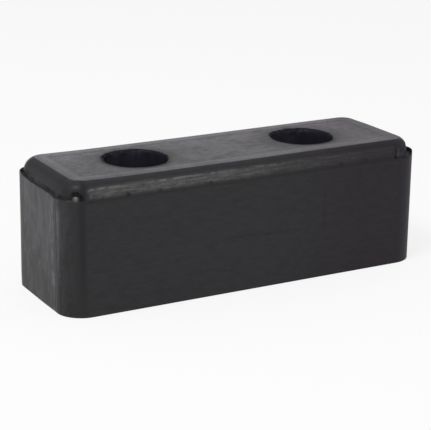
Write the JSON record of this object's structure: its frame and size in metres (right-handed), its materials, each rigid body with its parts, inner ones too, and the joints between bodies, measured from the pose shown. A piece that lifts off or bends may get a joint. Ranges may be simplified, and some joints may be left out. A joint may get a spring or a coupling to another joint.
{
  "type": "trailer buffer",
  "caption": "Moulded rubber block that bolts to a trailer as a buffer, with a rounded working face and deep counterbored bolt holes.",
  "frame": {"origin": "middle of the base, on the face that is bolted to the trailer", "axes": "+X along the block through both bolt holes, +Y towards the back long side, +Z out of the working face"},
  "size_m": [0.21, 0.072, 0.0685],
  "materials": {
    "moulded_rubber": "dull moulded rubber with faint flow marks and pale trimmed flash"
  },
  "bodies": {
    "root": {"buffer_block": "moulded_rubber"}
  },
  "joints": []
}
